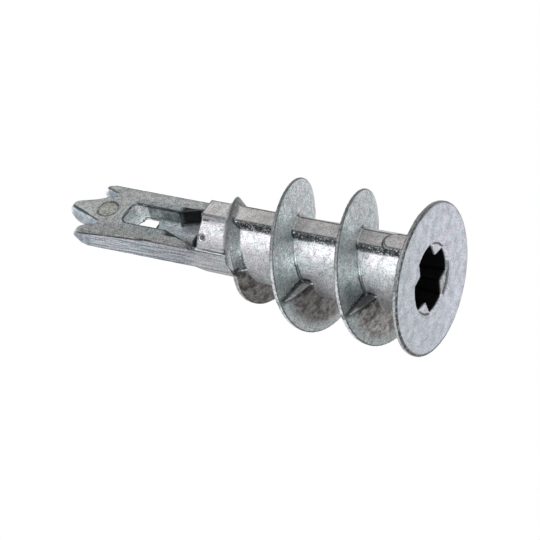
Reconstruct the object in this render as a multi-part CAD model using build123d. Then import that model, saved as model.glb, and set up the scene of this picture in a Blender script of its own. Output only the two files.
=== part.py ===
from build123d import *

import os
from math import acos, cos, degrees, pi, radians, sin, tan

# A self-drilling plasterboard anchor, cast in one piece of zinc alloy. Millimetres and degrees.
# The middle of the head's outer face is the origin, and the axis runs up +Z to the drill point.
# The two halves of the die met in the XZ plane and opened along Y. The blade is wide along X,
# and the open side of its window faces -Y, which is called the front here.

# Head
head_radius = 7.5
head_rim_thickness = 0.45
head_back_rise = 0.55  # the back slopes up by this much from the rim to the barrel
head_edge_break = 0.12
head_root_fillet = 0.7

# Cross recess
recess_mouth_radius = 3.7
recess_wall_radius = 3.35  # below the mouth's chamfer
recess_floor_radius = 2.75
recess_depth = 6.5
rib_count = 4
rib_tip_radius = 2.25
rib_base_width = 4.2
rib_step = 0.25  # the ribs start this far below the head's face
rib_first_angle = 45.0  # from +X, so the ribs lie between the blade's faces and edges

# Barrel
barrel_head_radius = 3.78
barrel_mouth_radius = 3.42
barrel_length = 23.9  # from the head's face to the open mouth
bore_radius = 2.05
bore_length = 21.3  # from the head's face to where the mouth widens
mouth_wall = 0.5
mouth_depth = 0.8  # past the barrel's end, before the mouth narrows
mouth_cone_height = 1.6
strip_half_width = 1.15  # raised strip with a flat top, along the front of the barrel
strip_reach = 3.85  # from the axis to the strip's top
strip_draft = 6.0
shoulder_length = 5.6  # the back of the barrel closes onto the blade over this length, in three cones
shoulder_wide_radius = 3.12
shoulder_narrow_radius = 2.16
shoulder_end_radius = 0.6

# Thread
thread_radius = 7.35
thread_taper = 0.06  # the crest comes in by this much in each turn
thread_pitch = 6.93
thread_turns = 3
thread_start_height = 2.69  # upper edge of the crest where the thread begins, at +X
crest_width = 0.42  # at -X
crest_width_trimmed = 0.22  # at +X, where the casting was broken off its runner
least_depth = 0.1  # taken as the thread's depth where its crest runs into the barrel
flank_spread = 0.44  # how much further each flank has come out at the barrel
thread_root_depth = 0.6
lead_in_angle = 60.0  # the crest rises out of the barrel over this angle
lead_in_share = 0.05  # of the full height, where the thread starts
run_in_angle = 690.0  # where the crest starts to drop
run_in_knee_angle = 892.0
run_in_knee_radius = 4.28
run_in_fade_angle = 1040.0  # the low crest starts to fade into the barrel
run_in_curve = 2.4  # power of the drop up to the knee
run_in_spread = 0.8  # the lower flank leans out by this much on the low crest
run_in_sag = 0.7  # the last turn hangs back by this much half way through its low part
run_in_sag_angle = 865.0
section_step = 15.0
parting_margin = 0.01  # degrees between each half turn and the parting plane

# Boss beside the head
boss_radius = 1.38
boss_centre_height = 3.3
boss_reach = 4.03  # from the axis to the boss's flat top
boss_chamfer = 0.3

# Blade, with its lengths along the axis measured from the barrel's mouth
blade_half_width = 3.53
blade_half_thickness = 1.12
blade_draft = 4.0
blade_root_depth = 4.9
prong_reach = 14.4
prong_tip_width = 0.45
centre_prong_reach = 16.5
centre_tip_half_width = 0.3
notch_depth = 2.47  # below the outer prongs' tips
notch_half_spacing = 2.15
notch_width = 0.3
bevel_height = 0.8  # the prongs' ends slope back by this much from the middle to each face
pin_mark_radius = 1.2
pin_mark_reach = 11.8
pin_mark_depth = 0.1

# Window, with its lengths along the axis measured from the barrel's mouth
window_half_width = 1.38
window_reach = 9.55  # on the front face
window_slant = 0.42  # the window's end comes back by this much through the blade
window_corner = 0.75
sill_reach = 6.9  # the trough's floor ends here and the window goes right through
trough_floor_depth = 1.67  # below the blade's front face
trough_round = 0.6
flare_reach = 4.35  # the window starts to widen towards the barrel here
flare_middle_reach = 1.9
flare_middle_half_width = 2.34
relief_width = 0.35  # the back of the window is wider by this much on each side
relief_depth = 0.6

overlap = 1.0  # how far cutting shapes run past the surfaces they cut

prong_tip_height = barrel_length + prong_reach
centre_tip_height = barrel_length + centre_prong_reach
window_end_height = barrel_length + window_reach
window_sill_height = barrel_length + sill_reach


def barrel_radius(height):
    return barrel_head_radius + (barrel_mouth_radius - barrel_head_radius) * height / barrel_length


def make_head():
    back = head_rim_thickness + head_back_rise
    neck = barrel_radius(back)
    outline = make_face(
        Polyline(
            (0, 0),
            (head_radius - head_edge_break, 0),
            (head_radius, head_edge_break),
            (head_radius, head_rim_thickness),
            (neck + head_root_fillet, back),
            (neck, back + head_root_fillet),
            (0, back + head_root_fillet),
            (0, 0),
        )
    )
    return revolve(Plane.XZ * outline, Axis.Z)


def make_barrel():
    outline = make_face(
        Polyline(
            (0, 0),
            (barrel_head_radius, 0),
            (barrel_mouth_radius, barrel_length),
            (0, barrel_length),
            (0, 0),
        )
    )
    return revolve(Plane.XZ * outline, Axis.Z)


def make_strip():
    foot_half_width = strip_half_width + strip_reach * tan(radians(strip_draft))
    section = make_face(
        Polyline(
            (-foot_half_width, 0),
            (foot_half_width, 0),
            (strip_half_width, -strip_reach),
            (-strip_half_width, -strip_reach),
            (-foot_half_width, 0),
        )
    )
    return extrude(Plane.XY.offset(head_rim_thickness) * section, barrel_length - head_rim_thickness)


# The closed back of the barrel is half of a rounded nose.
def make_shoulder():
    nose = make_face(
        Polyline(
            (0, barrel_length),
            (barrel_mouth_radius, barrel_length),
            (shoulder_wide_radius, barrel_length + shoulder_length / 3),
            (shoulder_narrow_radius, barrel_length + shoulder_length * 2 / 3),
            (shoulder_end_radius, barrel_length + shoulder_length),
            (0, barrel_length + shoulder_length),
            (0, barrel_length),
        )
    )
    return split(revolve(Plane.XZ * nose, Axis.Z), Plane.XZ, keep=Keep.BOTTOM)


# Full size along most of the thread, with a lead-in beside the head. The crest then drops to a low ridge,
# which runs on for half a turn beside the blade before it fades into the barrel.
def crest_radius(angle):
    full = thread_radius - thread_taper * angle / 360
    if angle < lead_in_angle:
        foot = barrel_radius(thread_start_height)
        share = sin(radians(90 * angle / lead_in_angle))
        return foot + (full - foot) * max(share, lead_in_share)
    if angle < run_in_angle:
        return full
    if angle < run_in_knee_angle:
        share = (angle - run_in_angle) / (run_in_knee_angle - run_in_angle)
        return full - (full - run_in_knee_radius) * share ** run_in_curve
    if angle < run_in_fade_angle:
        return run_in_knee_radius
    share = (angle - run_in_fade_angle) / (360 * thread_turns - run_in_fade_angle)
    return run_in_knee_radius - (run_in_knee_radius - barrel_mouth_radius) * share


def crest_height(angle):
    height = thread_start_height + thread_pitch * angle / 360
    if angle > run_in_sag_angle:
        share = (angle - run_in_sag_angle) / (360 * thread_turns - run_in_sag_angle)
        height -= run_in_sag * sin(pi * share)
    return height


def crest_breadth(angle):
    trimmed = (1 + cos(radians(angle))) / 2
    return crest_width + (crest_width_trimmed - crest_width) * trimmed


# The die opens along Y, so no part of a flank may hide behind the crest. In every quarter turn one flank is
# filled out until it lies straight behind the crest's edge along Y, and the other keeps its true slope.
def flank_fill(angle, radius):
    turned = angle % 360
    on_crest = degrees(acos(radius / crest_radius(angle) * cos(radians(turned))))
    if turned > 180:
        on_crest = 360 - on_crest
    return crest_height(angle + on_crest - turned) - crest_height(angle)


def thread_section(angle):
    crest = crest_radius(angle)
    top = crest_height(angle)
    low_share = max(0, (angle - run_in_angle) / (run_in_knee_angle - run_in_angle))
    lower_spread = flank_spread + (run_in_spread - flank_spread) * min(1, low_share)
    root = barrel_radius(top) - thread_root_depth
    depth = max(crest - barrel_radius(top), least_depth)
    upper = []
    lower = []
    for share in (0, 0.5, 1):
        radius = root + (crest - root) * share
        slope = (crest - radius) / depth
        fill = flank_fill(angle, radius)
        upper.append((radius, top + flank_spread * slope + max(fill, 0)))
        lower.append((radius, top - crest_breadth(angle) - lower_spread * slope + min(fill, 0)))
    outline = Curve() + [
        Spline(*upper),
        Line(upper[-1], lower[-1]),
        Spline(*reversed(lower)),
        Line(lower[0], upper[0]),
    ]
    outward = (cos(radians(angle)), sin(radians(angle)), 0)
    across = (sin(radians(angle)), -cos(radians(angle)), 0)
    return Plane(origin=(0, 0, 0), x_dir=outward, z_dir=across) * make_face(outline)


def make_thread():
    steps = round(180 / section_step)
    halves = []
    for half in range(2 * thread_turns):
        angles = [180 * half + section_step * step for step in range(steps + 1)]
        # Just inside each end, so that the section belongs to its own half of the die.
        angles[0] += parting_margin
        angles[-1] -= parting_margin
        halves.append(loft([thread_section(angle) for angle in angles]))
    return halves


def make_boss():
    outline = Rectangle(2 * boss_radius, boss_centre_height, align=(Align.CENTER, Align.MIN))
    outline += Pos(0, boss_centre_height) * Circle(boss_radius)
    boss = extrude(Plane.XZ * outline, boss_reach)
    front_edges = boss.edges().group_by(Axis.Y)[0]
    return chamfer(front_edges, boss_chamfer)


def blade_outline():
    root_height = barrel_length - blade_root_depth
    notch_height = prong_tip_height - notch_depth
    right = [
        (0, root_height),
        (blade_half_width, root_height),
        (blade_half_width, prong_tip_height),
        (blade_half_width - prong_tip_width, prong_tip_height),
        (notch_half_spacing + notch_width / 2, notch_height),
        (notch_half_spacing - notch_width / 2, notch_height),
        (centre_tip_half_width, centre_tip_height),
        (0, centre_tip_height),
    ]
    half = make_face(Polyline(*right, right[0]))
    return half + mirror(half, Plane.YZ)


# A wedge that takes the corner between a prong's end and the blade's front.
def end_bevel(tip_height, low_x, high_x):
    depth = blade_half_thickness + overlap
    rise = bevel_height * depth / blade_half_thickness
    side = make_face(
        Polyline(
            (0, tip_height),
            (-depth, tip_height - rise),
            (-depth, tip_height + overlap),
            (0, tip_height + overlap),
            (0, tip_height),
        )
    )
    return extrude(Plane.YZ.offset(low_x) * side, high_x - low_x)


def make_blade():
    half = extrude(Plane.XZ * blade_outline(), blade_half_thickness, taper=blade_draft)
    reach = blade_half_width + overlap
    bevels = [
        end_bevel(prong_tip_height, notch_half_spacing, reach),
        end_bevel(prong_tip_height, -reach, -notch_half_spacing),
        end_bevel(centre_tip_height, -notch_half_spacing, notch_half_spacing),
    ]
    half = half - bevels
    blade = half + mirror(half, Plane.XZ)
    mark = Cylinder(pin_mark_radius, 2 * pin_mark_depth, rotation=(90, 0, 0))
    return blade - Pos(0, -blade_half_thickness, barrel_length + pin_mark_reach) * mark


# Round mouth chamfer, tapering wall and floor of the cross recess, without its ribs, and the bore below it.
def make_recess_and_bore():
    chamfer = recess_mouth_radius - recess_wall_radius
    outline = make_face(
        Polyline(
            (0, -overlap),
            (recess_mouth_radius, -overlap),
            (recess_mouth_radius, 0),
            (recess_wall_radius, chamfer),
            (recess_floor_radius, recess_depth),
            (bore_radius, recess_depth + recess_floor_radius - bore_radius),
            (bore_radius, bore_length),
            (0, bore_length),
            (0, -overlap),
        )
    )
    hollow = revolve(Plane.XZ * outline, Axis.Z)
    for number in range(rib_count):
        hollow -= Rot(0, 0, rib_first_angle + 360 / rib_count * number) * make_rib()
    return hollow


def make_rib():
    base = recess_mouth_radius
    outline = make_face(
        Polyline(
            (rib_tip_radius, 0),
            (base, rib_base_width / 2),
            (base + overlap, rib_base_width / 2),
            (base + overlap, -rib_base_width / 2),
            (base, -rib_base_width / 2),
            (rib_tip_radius, 0),
        )
    )
    return extrude(Plane.XY.offset(rib_step) * outline, recess_depth)


# The barrel's far end is wide open, and its cavity ends in a blunt cone.
def make_mouth():
    radius = barrel_mouth_radius - mouth_wall
    top = barrel_length + mouth_depth
    outline = make_face(
        Polyline(
            (0, bore_length - overlap),
            (bore_radius, bore_length - overlap),
            (bore_radius, bore_length),
            (radius, bore_length + radius - bore_radius),
            (radius, top),
            (0, top + mouth_cone_height),
            (0, bore_length - overlap),
        )
    )
    return revolve(Plane.XZ * outline, Axis.Z)


# Trough with a rounded floor, from the mouth to the window's sill.
def make_trough():
    width = 2 * window_half_width
    height = trough_floor_depth + barrel_mouth_radius
    section = Rectangle(width, height, align=(Align.CENTER, Align.MIN))
    section = fillet(section.vertices().group_by(Axis.Y)[0], trough_round)
    floor = Pos(0, trough_floor_depth - blade_half_thickness, barrel_length)
    lying = floor * Rot(0, 0, 180) * section
    return extrude(lying, window_sill_height - barrel_length)


def make_flare():
    mouth = barrel_mouth_radius - mouth_wall
    outline = make_face(
        Polyline(
            (-window_half_width, barrel_length + flare_reach),
            (-flare_middle_half_width, barrel_length + flare_middle_reach),
            (-mouth, barrel_length + mouth_depth),
            (-mouth, barrel_length),
            (mouth, barrel_length),
            (mouth, barrel_length + mouth_depth),
            (flare_middle_half_width, barrel_length + flare_middle_reach),
            (window_half_width, barrel_length + flare_reach),
            (-window_half_width, barrel_length + flare_reach),
        )
    )
    floor = Plane.XZ.offset(blade_half_thickness - trough_floor_depth)
    return extrude(floor * outline, trough_floor_depth + barrel_mouth_radius)


# The window goes straight through, apart from its end, which leans back through the blade.
def make_window():
    thickness = 2 * blade_half_thickness
    lean = window_slant / thickness
    reach = blade_half_thickness + overlap
    front_end = window_end_height + lean * overlap
    width = 2 * window_half_width
    outline = Rectangle(width, front_end - window_sill_height, align=(Align.CENTER, Align.MIN))
    outline = fillet(outline.vertices().group_by(Axis.Y)[-1], window_corner)
    face = Plane.XZ.offset(reach) * Pos(0, window_sill_height) * outline
    leaning = extrude(face, 2 * reach, dir=(0, 1, -lean))
    leaning = split(leaning, Plane.XY.offset(window_sill_height), keep=Keep.TOP)
    straight_height = window_end_height - window_slant - window_corner - window_sill_height
    straight = Box(width, 2 * reach, straight_height, align=(Align.CENTER, Align.CENTER, Align.MIN))
    return leaning + Pos(0, 0, window_sill_height) * straight


def make_relief():
    depth = blade_half_thickness - relief_depth
    back = blade_half_thickness + overlap
    spread = relief_width * (back - depth) / relief_depth
    section = make_face(
        Polyline(
            (-window_half_width, depth),
            (window_half_width, depth),
            (window_half_width + spread, back),
            (-window_half_width - spread, back),
            (-window_half_width, depth),
        )
    )
    top = window_end_height - window_slant - relief_width
    return extrude(Plane.XY.offset(window_sill_height) * section, top - window_sill_height)


def make_anchor():
    anchor = make_barrel() + make_head() + make_strip() + make_shoulder() + make_boss()
    anchor = anchor + make_thread()
    anchor = anchor + make_blade()
    anchor = anchor - make_mouth() - make_flare() - make_trough()
    anchor = anchor - make_window() - make_relief()
    return anchor - make_recess_and_bore()


os.makedirs("parts", exist_ok=True)
anchor_body = make_anchor()
print("solids", len(anchor_body.solids()), "volume", round(anchor_body.volume, 1))
print("box", anchor_body.bounding_box())
export_step(anchor_body, "parts/anchor_body.step")
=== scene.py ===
from functools import reduce

import bmesh
import bpy
import numpy as np
from mathutils import Matrix, Vector


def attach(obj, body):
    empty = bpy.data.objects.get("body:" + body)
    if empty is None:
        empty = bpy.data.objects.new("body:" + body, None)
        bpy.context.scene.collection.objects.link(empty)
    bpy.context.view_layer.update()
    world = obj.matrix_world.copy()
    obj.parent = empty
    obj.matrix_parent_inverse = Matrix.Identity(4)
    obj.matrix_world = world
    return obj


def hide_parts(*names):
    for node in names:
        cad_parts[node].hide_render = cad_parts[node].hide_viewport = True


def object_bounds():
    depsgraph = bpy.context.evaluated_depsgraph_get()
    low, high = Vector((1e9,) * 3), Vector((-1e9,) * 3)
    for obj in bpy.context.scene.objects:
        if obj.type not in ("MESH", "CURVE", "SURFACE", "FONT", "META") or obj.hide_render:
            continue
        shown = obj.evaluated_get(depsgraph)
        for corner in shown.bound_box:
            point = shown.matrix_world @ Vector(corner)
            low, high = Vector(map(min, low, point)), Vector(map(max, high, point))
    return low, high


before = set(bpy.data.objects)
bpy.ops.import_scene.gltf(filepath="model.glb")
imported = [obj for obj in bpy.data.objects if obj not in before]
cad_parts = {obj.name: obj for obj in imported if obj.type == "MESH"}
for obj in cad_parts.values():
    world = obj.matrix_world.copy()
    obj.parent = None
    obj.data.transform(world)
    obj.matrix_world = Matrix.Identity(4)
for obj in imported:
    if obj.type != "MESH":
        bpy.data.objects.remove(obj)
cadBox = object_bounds()
mm = 0.001
print("frame loaded, box in mm", [round(v / mm, 2) for corner in cadBox for v in corner])


def addObject(name, data):
    made = bpy.data.objects.new(name, data)
    bpy.context.scene.collection.objects.link(made)
    return made


def finishedMesh(obj):  # the mesh as its modifiers leave it
    depsgraph = bpy.context.evaluated_depsgraph_get()
    return bpy.data.meshes.new_from_object(obj.evaluated_get(depsgraph))


# The casting: the CAD body with its edges worn round, as they come out of the die
casting = {
    "mergeWithin": 0.0005 * mm,
    "skinCell": 0.09 * mm,  # cell of the skin that is drawn over the body
    "softenPasses": 3,
    "softenShare": 0.5,
    "waves": 0.03 * mm,  # depth of the soft unevenness of a casting
    "waveLength": 0.9 * mm,
    "tipStart": 36.6 * mm,  # from here up the prongs' tips are worn rounder
    "tipFade": 1.0 * mm,  # height over which that wear sets in
    "tipPasses": 22,
    "tipRounds": 3,
    "pits": [((-2.66 * mm, -2.18 * mm, 23.35 * mm), 0.34 * mm)],  # place and radius
    "pitDepth": 0.5,  # share of a pit's radius
    "creasePasses": 6,  # how far the crease value spreads
    "triangles": 185000,
}


def castSkin(node, settings):  # a closed skin of small even cells over the body, softened and uneven
    bm = bmesh.new()
    bm.from_mesh(node.data)
    bmesh.ops.remove_doubles(bm, verts=bm.verts, dist=settings["mergeWithin"])
    merged = bpy.data.meshes.new("castingMerged")
    bm.to_mesh(merged)
    bm.free()
    rough = addObject("castingRough", merged)
    skin = rough.modifiers.new("skin", "REMESH")
    skin.mode = "VOXEL"
    skin.voxel_size = settings["skinCell"]
    soften = rough.modifiers.new("soften", "SMOOTH")
    soften.factor = settings["softenShare"]
    soften.iterations = settings["softenPasses"]
    clouds = bpy.data.textures.new("castWaves", "CLOUDS")
    clouds.noise_scale = settings["waveLength"]
    waves = rough.modifiers.new("waves", "DISPLACE")
    waves.texture = clouds
    waves.mid_level = 1  # inwards only
    waves.strength = settings["waves"]
    dense = finishedMesh(rough)
    bpy.data.objects.remove(rough)
    return dense


def readSkin(mesh):
    count = len(mesh.vertices)
    places = np.zeros(count * 3)
    mesh.vertices.foreach_get("co", places)
    normals = np.zeros(count * 3, np.float32)
    mesh.vertices.foreach_get("normal", normals)
    edges = np.zeros(len(mesh.edges) * 2, np.int32)
    mesh.edges.foreach_get("vertices", edges)
    return places.reshape(-1, 3), normals.reshape(-1, 3), edges.reshape(-1, 2)


def spreadOverEdges(values, edges, passes):  # each pass moves a value halfway to its neighbours' mean
    count = len(values)
    degree = np.maximum(np.bincount(edges.ravel(), minlength=count), 1)
    for _ in range(passes):
        total = np.bincount(edges[:, 0], values[edges[:, 1]], count)
        total += np.bincount(edges[:, 1], values[edges[:, 0]], count)
        values = (values + total / degree) / 2
    return values


def spreadPlaces(places, edges, passes):
    return np.stack([spreadOverEdges(places[:, axis], edges, passes) for axis in range(3)], 1)


def wearTips(mesh, settings):  # the prongs' tips are rounded, and small pits are pressed in
    places, normals, edges = readSkin(mesh)
    worn = np.clip((places[:, 2] - settings["tipStart"]) / settings["tipFade"], 0, 1)[:, None]
    for _ in range(settings["tipRounds"]):
        places = places + worn * (spreadPlaces(places, edges, settings["tipPasses"]) - places)
    for middle, reach in settings["pits"]:
        away = np.linalg.norm(places - np.array(middle), axis=1)
        depth = settings["pitDepth"] * np.clip(1 - (away / reach) ** 2, 0, 1) * reach
        places = places - normals * depth[:, None]
    mesh.vertices.foreach_set("co", places.ravel())
    mesh.update()


def markCreases(mesh, passes):  # in mm, above zero in hollows and below zero on edges
    places, normals, edges = readSkin(mesh)
    hollow = ((spreadPlaces(places, edges, passes) - places) * normals).sum(1) / mm
    attribute = mesh.attributes.new("crease", "FLOAT", "POINT")
    attribute.data.foreach_set("value", hollow.astype(np.float32))
    print("crease from", round(float(hollow.min()), 3), "to", round(float(hollow.max()), 3))


def thinnedSkin(obj, triangles):
    thin = obj.modifiers.new("thin", "DECIMATE")
    thin.ratio = min(1, triangles / (2 * len(obj.data.polygons)))  # the skin is of four-sided faces
    light = finishedMesh(obj)
    obj.modifiers.clear()
    for face in light.polygons:
        face.use_smooth = True
    return light


denseSkin = castSkin(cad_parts["anchor_body"], casting)
wearTips(denseSkin, casting)
markCreases(denseSkin, casting["creasePasses"])
print("skin of", len(denseSkin.polygons), "faces")
castBody = addObject("castBody", denseSkin)
castBody.data = thinnedSkin(castBody, casting["triangles"])
print("casting of", len(castBody.data.polygons), "triangles")
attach(castBody, "root")
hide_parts("anchor_body")


class Painter:  # adds nodes to one tree; known holds, by name, what a ramp can follow and the zones
    def __init__(self, tree):
        self.tree = tree
        self.known = {}

    def feed(self, sockets, values):
        for socket, value in zip(sockets, values):
            if isinstance(value, bpy.types.NodeSocket):
                self.tree.links.new(value, socket)
            else:
                socket.default_value = value

    def maths(self, operation, *values):
        node = self.tree.nodes.new("ShaderNodeMath")
        node.operation = operation
        self.feed(node.inputs, values)
        return node.outputs[0]

    def fold(self, operation, values):  # one operation over a whole list
        return reduce(lambda total, value: self.maths(operation, total, value), values)

    def distance(self, first, second):
        squares = [self.maths("MULTIPLY", value, value) for value in (first, second)]
        return self.maths("SQRT", self.maths("ADD", *squares))

    def mixture(self, first, share, second):
        parts = self.maths("MULTIPLY", first, share), self.maths("MULTIPLY", second, 1 - share)
        return self.maths("ADD", *parts)

    def blend(self, share, first, second, kind="MIX"):
        node = self.tree.nodes.new("ShaderNodeMix")
        node.data_type = "RGBA"
        node.blend_type = kind
        colours = [(*value, 1) if isinstance(value, tuple) else value for value in (first, second)]
        sockets = [node.inputs[number] for number in (0, 6, 7)]  # the share and the two colours
        self.feed(sockets, [share, *colours])
        return node.outputs[2]

    def tint(self, colour, by):
        return self.blend(1.0, colour, by, "MULTIPLY")

    def dim(self, kept, colour):  # kept is the share of the light that stays
        return self.blend(kept, (0.0, 0.0, 0.0), colour)

    def noise(self, size, stretch=(1, 1, 1), detail=3.0, rough=0.55):  # size of a patch in mm
        mapping = self.tree.nodes.new("ShaderNodeMapping")
        self.tree.links.new(self.known["place"], mapping.inputs["Vector"])
        mapping.inputs["Scale"].default_value = [1 / (size * mm * reach) for reach in stretch]
        node = self.tree.nodes.new("ShaderNodeTexNoise")
        self.tree.links.new(mapping.outputs["Vector"], node.inputs["Vector"])
        node.inputs["Scale"].default_value = 1
        node.inputs["Detail"].default_value = detail
        node.inputs["Roughness"].default_value = rough
        return node.outputs["Fac"]

    def ramp(self, follows, low, high, first=0.0, last=1.0):  # eases from first to last between low and high
        node = self.tree.nodes.new("ShaderNodeMapRange")
        node.interpolation_type = "SMOOTHSTEP"
        self.feed(node.inputs, (self.known[follows], low, high, first, last))
        return node.outputs[0]

    def read(self, part):  # one part of a zone
        if isinstance(part, tuple):
            return self.ramp(*part)
        if isinstance(part, list):  # the greatest of its own parts
            return self.fold("MAXIMUM", [self.read(one) for one in part])
        if isinstance(part, str) and part.startswith("not "):
            return self.maths("SUBTRACT", 1.0, self.known[part.removeprefix("not ")])
        return self.known.get(part, part)  # a plain number stays as it is

    def zone(self, parts):  # the product of its parts
        return self.fold("MULTIPLY", [self.read(part) for part in parts])

    def surface(self, dull, pale, by=("mottle", 0.38, 0.60), kept=()):
        colour = self.blend(self.ramp(*by), dull, pale)
        return self.dim(self.zone(kept), colour) if kept else colour

    def mixShaders(self, share, first, second):
        node = self.tree.nodes.new("ShaderNodeMixShader")
        self.feed(node.inputs, (share, first, second))
        return node.outputs["Shader"]


# Bare zinc alloy, satin and a little mottled. Each surface goes from a dull to a pale colour by a pattern,
# between the pattern's two limits, and keeps the share of the light that its ramps and zones leave: painted
# shade and light
zinc = {
    "surfaces": {
        "flank": {
            "dull": (0.52, 0.57, 0.575), "pale": (0.97, 1.0, 1.0), "by": ("mottle", 0.40, 0.60),
            # painted light towards one corner, and painted shade at the back, near the head, beside the steps
            # and on the first flight
            "kept": [
                ("towardsCorner", 0.70, 0.95, 0.76, 1.0), ("y", 0.0, 0.5, 1.0, 0.76),
                ("byStep", 0.0, 1.0, 1.0, 0.68), ("z", 9.0, 10.5, 0.92, 1.0), ("z", 15.5, 18.5, 1.0, 0.34),
            ],
        },
        "crest": {
            "dull": (0.30, 0.31, 0.315), "pale": (0.68, 0.70, 0.71), "by": ("clotted", 0.38, 0.54),
            # painted shade at the front, near the head and on the first flight
            "kept": ["crestFront", ("z", 1.2, 1.6, 0.72, 1.0), ("z", 15.5, 18.5, 1.0, 0.6)],
        },
        "barrel": {
            "dull": (0.40, 0.42, 0.455), "pale": (0.655, 0.655, 0.67), "by": ("ringed", 0.35, 0.61),
            # painted shade towards the back, towards the blade and beside the head
            "kept": [
                ("y", -2.4, 1.2, 1.0, 0.66), ("z", 19.5, 21.0, 1.0, 0.86), ("byHead", 0.0, 1.0, 1.0, 0.74),
            ],
        },
        # the barrel's colours at 0.8: painted shade along the edge where the blade joins the barrel
        "barrelEdge": {
            "dull": (0.32, 0.336, 0.364), "pale": (0.524, 0.524, 0.536), "by": ("drawn", 0.42, 0.57),
        },
        "headFace": {"dull": (0.47, 0.49, 0.53), "pale": (0.74, 0.76, 0.82), "by": ("cloudy", 0.34, 0.64)},
        # the flank's colours dimmed to 0.62: painted shade on the end of one rib
        "shadedRibEnd": {
            "dull": (0.3224, 0.3534, 0.3565), "pale": (0.6014, 0.62, 0.62), "by": ("fine", 0.42, 0.58),
        },
        "stripFace": {
            "dull": (0.38, 0.372, 0.372), "pale": (0.61, 0.592, 0.585),
            # painted shade up to 18 mm, fading out by 20 mm
            "kept": [("z", 18.0, 20.0, 0.82, 1.0)],
        },
        "stepFace": {
            "dull": (0.38, 0.372, 0.372), "pale": (0.61, 0.592, 0.585),
            # painted shade, deeper nearer the head
            "kept": [("z", 8.0, 10.0, 0.5, 0.85)],
        },
        "bladeFace": {
            # painted shade on its side towards -x
            "dull": (0.22, 0.23, 0.235), "pale": (0.46, 0.465, 0.465), "kept": [("x", -2.3, -1.4, 0.74, 1.0)],
        },
        "bladeSide": {
            "dull": (0.22, 0.25, 0.28), "pale": (0.58, 0.61, 0.65), "by": ("drawn", 0.42, 0.57),
            # painted shade up to 28 mm, fading out by 31 mm
            "kept": [("z", 28.0, 31.0, 0.82, 1.0)],
        },
        "tip": {"dull": (0.20, 0.235, 0.27), "pale": (0.40, 0.44, 0.48), "by": ("coarse", 0.3, 0.7)},
        # painted shade, near black deep in the flare
        "windowWall": {
            "dull": (0.14, 0.17, 0.175), "pale": (0.34, 0.37, 0.38), "kept": [("z", 27.8, 28.6, 0.04, 1.0)],
        },
        # painted shadow on its side towards -x
        "trough": {
            "dull": (0.38, 0.42, 0.45), "pale": (0.70, 0.74, 0.79), "kept": [("x", -1.2, 0.3, 0.15, 1.0)],
        },
        # painted light on the window's end wall
        "windowEnd": {"dull": (0.58, 0.64, 0.66), "pale": (0.90, 0.95, 0.97)},
        "brownShade": {  # painted shade in brown, near the root of the thread's back half
            "dull": (0.11, 0.10, 0.098), "pale": (0.46, 0.44, 0.425), "by": ("blotches", 0.39, 0.60),
            "kept": [("z", 9.0, 11.0, 1.0, 0.42)],
        },
    },
    # flanks and the head are brighter towards one side, a painted light, and the hue changes a little from
    # patch to patch
    "side": {"dull": (0.84, 0.87, 0.87), "pale": (0.97, 0.97, 1.0), "by": ("x", -5.5, 4.0)},
    "hue": {"dull": (0.96, 1.01, 1.0), "pale": (1.03, 0.985, 1.0), "by": ("hues", 0.35, 0.65)},
    "pinTint": (0.96, 0.96, 0.85),
    "lapKept": 0.9,  # light on the lap, beside that on the blade's face
    "line": (0.03, 0.033, 0.034),  # dark colour of painted shade in hollows, at the steps and along the strip, of dark lines along edges, and of grime and specks
    "metallic": 0.88,
    "specular": 0.5,
    "roughness": ("mottle", 0.35, 0.65, 0.52, 0.36),  # a little glossier where the metal is pale
    "shade": 4.5 * mm,  # how far a wall darkens, as painted shade, what stands beside it
    "shadeSamples": 8,
    "grain": 0.012 * mm,
    "grainStrength": 0.6,
}

# Patterns: noise with the size of its patches in mm, then mixtures of two with the share of the first
patches = {
    "coarse": {"size": 0.6},
    "fine": {"size": 0.16, "detail": 2.0},
    "specks": {"size": 0.12, "detail": 1.0},
    "clots": {"size": 0.34},
    "streaks": {"size": 0.13, "stretch": (1, 1, 24)},  # along the blade's sides
    "rings": {"size": 0.15, "stretch": (9, 9, 1)},  # round the barrel
    "spots": {"size": 0.75},
    "clouds": {"size": 1.1, "rough": 0.6},
    "hues": {"size": 1.3},
    "grain": {"size": 0.12, "rough": 0.7},
}
mixtures = {
    "mottle": ("coarse", 0.4, "fine"),
    "clotted": ("clots", 0.7, "fine"),
    "drawn": ("streaks", 0.75, "fine"),
    "turned": ("rings", 0.45, "coarse"),
    "blotches": ("spots", 0.55, "clotted"),
    "cloudy": ("clouds", 0.65, "fine"),
}
ringShare = ("z", 9.0, 5.0, 0.25, 1.0)  # the barrel's rings are clearest near the head

# What else the ramps follow, in mm
brightCorner = (-0.6, -0.8)  # x and y of the direction in which the flanks are painted brightest, a painted light
lapFoot, lapSlope = 29.3, 0.08  # where the edge of the lap starts, and how it rises along the blade
middles = {  # x and z of places that a zone surrounds
    "fromPin": (0.0, 35.7),
    "fromBoss": (0.0, 3.05),
    "fromMouth": (-3.1, 24.6),
    "fromFlare": (-1.5, 27.3),
}
wavers = {"offPlane": ("fromPlane", 0.9), "awry": ("aside", 0.7)}  # measures that wander by so much

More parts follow.
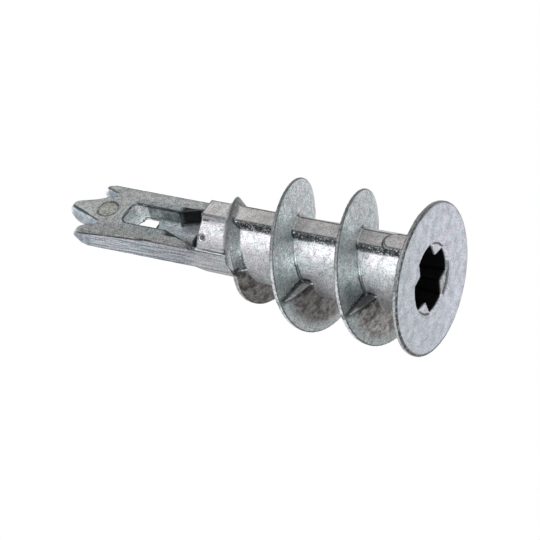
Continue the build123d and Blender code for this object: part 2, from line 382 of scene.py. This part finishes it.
# Zones: products of ramps, each with its low and high limit, then its values there if they aren't 0 and 1.
# Lengths are in mm, and the rest goes from 0 to 1. A ramp whose low limit is the larger one falls
zones = {
    "ragged": [("mottle", 0.36, 0.56, 0.6, 1.0)],  # leaves gaps in the dark lines
    "flat": [("upright", 0.3, 0.6)],  # flanks and the head, square to the axis
    "squareToDie": [("across", 0.90, 0.985)],
    "blade": [("z", 23.8, 24.2)],
    "bladeSide": ["blade", ("upright", 0.9, 0.7)],
    "tip": [("z", 35.6, 36.6), ("squareToDie", 0.6, 0.2)],
    "lapEdge": [("x", -3.0, -3.1), ("z", 29.0, 29.5), ("z", 37.8, 37.3), ("y", -0.7, -0.9)],
    "tipLine": [("z", 34.0, 35.0, 0.0, 0.9), ("across", 0.35, 0.55), ("across", 0.97, 0.9), "not lapEdge"],
    "pinMark": [("fromPin", 1.25, 1.1), ("y", -0.4, -0.6)],
    "speckled": [("specks", 0.46, 0.34, 0.0, 0.55), ("z", 35.6, 36.6, 1.0, 0.0)],  # all but the tips

    # the face laps over the side of the long prong, down to a broken dark line
    "lapSide": [("x", -3.2, -3.3), ("z", 28.7, 29.2), ("z", 37.8, 37.3)],
    "lap": ["lapSide", ("lapped", -1.06, -1.12)],
    "lapLine": [
        "lapSide", ("lapped", -1.23, -1.16), ("lapped", -0.99, -1.06), ("clotted", 0.38, 0.50, 0.50, 0.95),
    ],

    # the blade's window, and grime beside the barrel's mouth
    "windowWall": [
        ("z", 23.9, 24.0), ("z", 33.3, 33.2), ("y", -1.40, -1.15), ("y", 1.0, 0.75),
        ("aside", 2.25, 2.15), ("upright", 0.8, 0.5),
    ],
    "trough": ["squareToDie", ("y", 0.1, 0.2), ("y", 0.9, 0.8), ("z", 23.9, 24.0), ("z", 31.0, 30.9)],
    "windowEnd": [("z", 31.9, 32.0), ("z", 33.9, 33.8), ("aside", 1.9, 1.7), ("squareToDie", 0.5, 0.1)],
    "lip": ["ragged", ("crease", -0.003, -0.008), ("z", 24.4, 24.5), ("z", 34.1, 34.0), ("aside", 2.5, 2.3)],
    "grime": [
        [("fromMouth", 0.8, 0.4), ("fromFlare", 0.9, 0.45)],
        ("across", 0.3, 0.5), ("y", -1.5, -1.4), ("y", 0.4, 0.3), ("fine", 0.47, 0.50),
    ],

    # the head's outer face has colours of its own, and the end of one rib has the flank's colours in painted
    # shade
    "face": ["flat", ("z", 0.6, 0.45)],
    "ribSide": [("x", 1.2, 1.6), ("y", 0.4, 0.8)],
    "shadedRibEnd": ["ribSide", ("radius", 3.5, 3.4)],
    "ribLine": ["face", "ribSide", "ragged", ("radius", 3.36, 3.42, 0.0, 0.75), ("radius", 3.66, 3.60)],
    "faceLine": [
        "face", ("radius", 7.12, 7.28), ("x", 4.0, 0.0, 0.2, 1.0), ("clotted", 0.40, 0.52, 0.45, 0.95),
    ],

    # the barrel: painted shade beside the head and along the blade's join, spotted lines of painted shade
    # along the edges of its raised strip, and a line runs round the boss
    # painted shadow on the barrel beside the head's back
    "byHead": [("z", 4.2, 2.6), ("y", -1.8, 0.0)],
    "barrelEdge": [("z", 19.5, 20.5), ("aside", 2.9, 3.15)],
    "stripSpots": [("aside", 0.8, 1.0, 0.0, 0.95), ("aside", 1.65, 1.45), ("fine", 0.42, 0.49)],
    "stripSeam": [("awry", 1.1, 1.2), ("awry", 1.42, 1.32), ("fine", 0.34, 0.46, 0.7, 1.0)],
    "strip": [
        ["stripSpots", "stripSeam"],
        ("y", -3.0, -3.2), ("radius", 4.3, 4.1), ("z", 0.7, 0.9), ("z", 21.5, 20.0, 0.3, 1.0),
    ],
    "bossLine": [
        ("fromBoss", 1.3, 1.4), ("fromBoss", 1.62, 1.52), ("y", -3.4, -3.6), ("z", 3.2, 3.7, 0.2, 0.9),
    ],

    # crests and rims: a pale band between dark lines, with painted shade at the front
    "rim": [("radius", 5.4, 5.8)],
    "firstCrest": [("z", 17.0, 18.0), ("radius", 4.1, 4.25)],
    "crest": [["rim", "firstCrest"], ("z", 23.8, 23.4), ("upright", 0.45, 0.3)],
    "crestFront": [[("frontwards", -0.75, -0.35, 0.25, 1.0), ("z", 1.6, 1.2, 0.0, 0.42)]],
    "rimLine": ["rim", "ragged", ("upright", 0.2, 0.4, 0.0, 0.9), ("upright", 0.88, 0.78)],
    # painted shade in brown, near the root of the thread's back half
    "brownShade": ["flat", ("y", 0.0, 0.3), ("x", 1.0, -1.5), ("radius", 7.0, 5.6), ("z", 2.2, 2.8)],

    # steps of the thread at the parting plane: painted shade along them, less of it on their faces, and on
    # the flanks beside them
    "stepFace": [("aside", 2.6, 2.9)],
    "cleanStep": ["squareToDie", ("z", 8.0, 10.0, 0.3, 0.72)],
    "lowStep": [("z", 4.3, 4.4), ("z", 5.2, 5.1), ("x", 0.0, -1.0)],
    "middleStep": [("z", 11.2, 11.3), ("z", 12.4, 12.3), ("x", 0.0, -1.0)],
    "step": [
        ["lowStep", "middleStep", ("radius", 3.75, 3.95)], "not cleanStep",
        ("offPlane", 0.48, 0.20), ("z", 2.1, 2.2), ("z", 23.9, 23.8),
        ("radius", 7.3, 4.6, 0.62, 1.0), ("clotted", 0.44, 0.60, 1.0, 0.86),
    ],
    "nearStep": [("frontwards", -0.56, -0.40), ("y", 0.3, 0.0), ("x", 0.0, -1.0)],
    "byStep": ["nearStep", ("radius", 6.9, 5.7), ("z", 8.0, 10.0, 1.0, 0.35)],

    # painted shade in hollows, less of it at the thread's root, and dark lines along edges
    "atRoot": [
        "not nearStep", ("radius", 3.2, 3.3, 0.0, 0.647), ("radius", 4.3, 4.2),
        ("z", 0.9, 1.0), ("z", 23.1, 23.0),
    ],
    "hollow": ["not atRoot", ("crease", 0.003, 0.012, 0.0, 0.85)],
    "faceEdge": [("z", 0.6, 0.4), ("radius", 5.0, 4.8, 0.0, 0.6)],
    "edge": ["not crest", "not lapEdge", "not faceEdge", "ragged", ("crease", -0.006, -0.015, 0.0, 0.85)],
    # all painted dark: painted shade in hollows, at the steps and along the strip, dark lines along edges,
    # and grime
    "dirtAndShade": [[
        "hollow", "edge", "rimLine", "step", "strip", "bossLine", "tipLine", "grime", "lip", "lapLine",
        "faceLine", "ribLine",
    ]],

    # painted shade: the occlusion node darkens corners and the recess is painted black, while the window's
    # end is kept lit as painted light
    "inside": [("radius", 3.48, 3.40), ("z", 0.3, 0.5), ("z", 20.0, 14.0, 0.0, 0.98)],
    "windowLight": ["windowEnd", 0.9],
    "daylight": [[("sky", 0.0, 0.6, 0.74, 1.0), "windowLight"], "not inside"],
}


def learnPlaces(painter, settings):  # measures of a point on the casting, and which way it faces
    tree, known, maths = painter.tree, painter.known, painter.maths
    known["place"] = tree.nodes.new("ShaderNodeTexCoord").outputs["Object"]
    split = tree.nodes.new("ShaderNodeSeparateXYZ")
    tree.links.new(known["place"], split.inputs[0])
    x, y, z = (maths("MULTIPLY", output, 1 / mm) for output in split.outputs)
    facing = tree.nodes.new("ShaderNodeSeparateXYZ")
    tree.links.new(tree.nodes.new("ShaderNodeNewGeometry").outputs["Normal"], facing.inputs[0])
    crease = tree.nodes.new("ShaderNodeAttribute")
    crease.attribute_name = "crease"
    sky = tree.nodes.new("ShaderNodeAmbientOcclusion")
    sky.samples = settings["shadeSamples"]
    sky.only_local = True
    sky.inputs["Distance"].default_value = settings["shade"]
    radius = painter.distance(x, y)
    cornerwards = [maths("MULTIPLY", value, share) for value, share in zip((x, y), brightCorner)]
    lapRise = maths("MULTIPLY", maths("SUBTRACT", z, lapFoot), lapSlope)
    known.update({
        "x": x,
        "y": y,
        "z": z,
        "radius": radius,
        "aside": maths("ABSOLUTE", x),
        "fromPlane": maths("ABSOLUTE", y),  # the die's parting plane
        "lapped": maths("SUBTRACT", y, lapRise),
        "frontwards": maths("DIVIDE", y, radius),  # -1 at the front, 1 at the back
        "towardsCorner": maths("DIVIDE", maths("ADD", *cornerwards), radius),
        "across": maths("ABSOLUTE", facing.outputs[1]),  # 1 where a face is parallel to the parting plane
        "upright": maths("ABSOLUTE", facing.outputs[2]),  # 1 where a face is square to the axis
        "crease": crease.outputs["Fac"],
        "sky": sky.outputs["AO"],
    })
    for name, (middleX, middleZ) in middles.items():
        known[name] = painter.distance(maths("SUBTRACT", x, middleX), maths("SUBTRACT", z, middleZ))


def learnPatterns(painter):
    known = painter.known
    for name, values in patches.items():
        known[name] = painter.noise(**values)
    for name, (first, share, second) in mixtures.items():
        known[name] = painter.mixture(known[first], share, known[second])
    known["ringed"] = painter.blend(painter.ramp(*ringShare), known["mottle"], known["turned"])
    for name, (follows, reach) in wavers.items():
        stray = painter.maths("MULTIPLY", painter.maths("SUBTRACT", known["clotted"], 0.5), reach)
        known[name] = painter.maths("ADD", known[follows], stray)


def paintCasting(painter, settings):
    made = {name: painter.surface(**values) for name, values in settings["surfaces"].items()}
    # painted light: brighter towards one side
    side = painter.surface(**settings["side"])
    hue = painter.surface(**settings["hue"])

    def over(colour, zone, painted=None):  # the zone is painted with the surface of its own name, or another
        return painter.blend(painter.known[zone], colour, made[zone] if painted is None else painted)

    colour = over(over(made["barrel"], "barrelEdge"), "flat", painter.tint(made["flank"], side))
    colour = over(over(colour, "bladeSide"), "tip")
    dieFace = over(over(made["stripFace"], "stepFace"), "blade", made["bladeFace"])
    colour = over(colour, "squareToDie", dieFace)
    colour = over(colour, "lap", painter.dim(settings["lapKept"], made["bladeFace"]))
    for zone in ("windowWall", "trough", "windowEnd", "brownShade"):
        colour = over(colour, zone)
    colour = over(colour, "face", over(painter.tint(made["headFace"], side), "shadedRibEnd"))
    colour = over(colour, "pinMark", painter.tint(colour, settings["pinTint"]))
    colour = over(colour, "speckled", settings["line"])
    colour = over(painter.tint(colour, hue), "crest")
    # grime, dark lines and painted shade
    colour = over(colour, "dirtAndShade", settings["line"])
    # painted shade in corners and in the recess, painted light on the window's end
    return painter.dim(painter.known["daylight"], colour)


def castZinc(settings):
    material = bpy.data.materials.new("castZinc")
    material.use_nodes = True
    tree = material.node_tree
    painter = Painter(tree)
    learnPlaces(painter, settings)
    learnPatterns(painter)
    for name, parts in zones.items():
        painter.known[name] = painter.zone(parts)
    bump = tree.nodes.new("ShaderNodeBump")
    bump.inputs["Strength"].default_value = settings["grainStrength"]
    bump.inputs["Distance"].default_value = settings["grain"]
    tree.links.new(painter.known["grain"], bump.inputs["Height"])
    shader = tree.nodes["Principled BSDF"]
    tree.links.new(paintCasting(painter, settings), shader.inputs["Base Color"])
    # no metal sheen and no specular in the recess, so that it renders black: painted shade
    tree.links.new(painter.zone(["not inside", settings["metallic"]]), shader.inputs["Metallic"])
    tree.links.new(painter.zone(["not inside", settings["specular"]]), shader.inputs["Specular IOR Level"])
    tree.links.new(painter.ramp(*settings["roughness"]), shader.inputs["Roughness"])
    tree.links.new(bump.outputs["Normal"], shader.inputs["Normal"])
    return material


castBody.data.materials.append(castZinc(zinc))
print("finish set")

# Floor: seen only from above, so that the view from below the head stays clear
floor = {
    "radius": 600 * mm,
    "sides": 96,
    "drop": 0.02 * mm,  # below the head, so that the two don't meet
    "colour": (0.86, 0.86, 0.86),
    "roughness": 0.9,
}


def paleFloor(settings):
    material = bpy.data.materials.new("paleFloor")
    material.use_nodes = True
    tree = material.node_tree
    shader = tree.nodes["Principled BSDF"]
    shader.inputs["Base Color"].default_value = (*settings["colour"], 1)
    shader.inputs["Roughness"].default_value = settings["roughness"]
    clear = tree.nodes.new("ShaderNodeBsdfTransparent").outputs["BSDF"]
    below = tree.nodes.new("ShaderNodeNewGeometry").outputs["Backfacing"]
    mixed = Painter(tree).mixShaders(below, shader.outputs["BSDF"], clear)
    tree.links.new(mixed, tree.nodes["Material Output"].inputs["Surface"])
    return material


def addFloor(settings):
    bm = bmesh.new()
    bmesh.ops.create_circle(bm, cap_ends=True, segments=settings["sides"], radius=settings["radius"])
    bmesh.ops.translate(bm, verts=bm.verts, vec=(0, 0, cadBox[0].z - settings["drop"]))
    mesh = bpy.data.meshes.new("floor")
    bm.to_mesh(mesh)
    bm.free()
    mesh.materials.append(paleFloor(settings))
    made = addObject("floor", mesh)
    made.visible_diffuse = False
    made.visible_glossy = False
    made.visible_transmission = False
    made.visible_shadow = False


addFloor(floor)

# Camera: close to the level of the head, a little under it
view = {
    "right": (0.45511, 0.18216, -0.87160),
    "up": (0.63113, -0.75649, 0.17145),
    "towards": (-0.62813, -0.62813, -0.45926),
    "place": (-215.8064 * mm, -212.8304 * mm, -139.5638 * mm),
    "lens": 236.017,
    "sensor": 36,
    "clip": (1 * mm, 10),
}


def addCamera(settings):
    data = bpy.data.cameras.new("camera")
    data.sensor_width = settings["sensor"]
    data.lens = settings["lens"]
    data.clip_start, data.clip_end = settings["clip"]
    made = addObject("camera", data)
    axes = [Vector(settings[name]).normalized() for name in ("right", "up", "towards")]
    turn = Matrix(axes).transposed()
    made.matrix_world = Matrix.Translation(settings["place"]) @ turn.to_4x4()
    bpy.context.scene.camera = made


addCamera(view)

# Lamps: soft boxes, each aimed at the casting's middle; places are from that middle, in mm
lamps = {
    "keyBox": {"place": (-130, -275, 60), "size": 260, "watts": 0.45},
    "lowBox": {"place": (-250, -160, -260), "size": 200, "watts": 0.58},
    "skyBox": {"place": (60, 60, 420), "size": 360, "watts": 0.9},
}


def addLamp(name, settings):
    data = bpy.data.lights.new(name, "AREA")
    data.size = settings["size"] * mm
    data.energy = settings["watts"]
    made = addObject(name, data)
    offset = Vector(settings["place"]) * mm
    turn = offset.to_track_quat("Z", "Y").to_matrix().to_4x4()
    made.matrix_world = Matrix.Translation((cadBox[0] + cadBox[1]) / 2 + offset) @ turn


for name, settings in lamps.items():
    addLamp(name, settings)

# World: white behind the casting and in its reflections, a plain fill otherwise
world = {"colour": (1, 1, 1, 1), "fill": 0.35, "background": 1.0}


def lightWorld(settings):
    made = bpy.data.worlds.new("studio")
    bpy.context.scene.world = made
    made.use_nodes = True
    tree = made.node_tree
    fill = tree.nodes["Background"]
    white = tree.nodes.new("ShaderNodeBackground")
    for node, strength in ((fill, settings["fill"]), (white, settings["background"])):
        node.inputs["Color"].default_value = settings["colour"]
        node.inputs["Strength"].default_value = strength
    path = tree.nodes.new("ShaderNodeLightPath")
    rays = [path.outputs[name] for name in ("Is Camera Ray", "Is Glossy Ray", "Is Transmission Ray")]
    painter = Painter(tree)
    seen = painter.fold("MAXIMUM", rays)
    mixed = painter.mixShaders(seen, fill.outputs["Background"], white.outputs["Background"])
    tree.links.new(mixed, tree.nodes["World Output"].inputs["Surface"])


lightWorld(world)
bpy.context.scene.view_settings.view_transform = "Standard"
print("stage and lamps set")

bpy.context.view_layer.update()
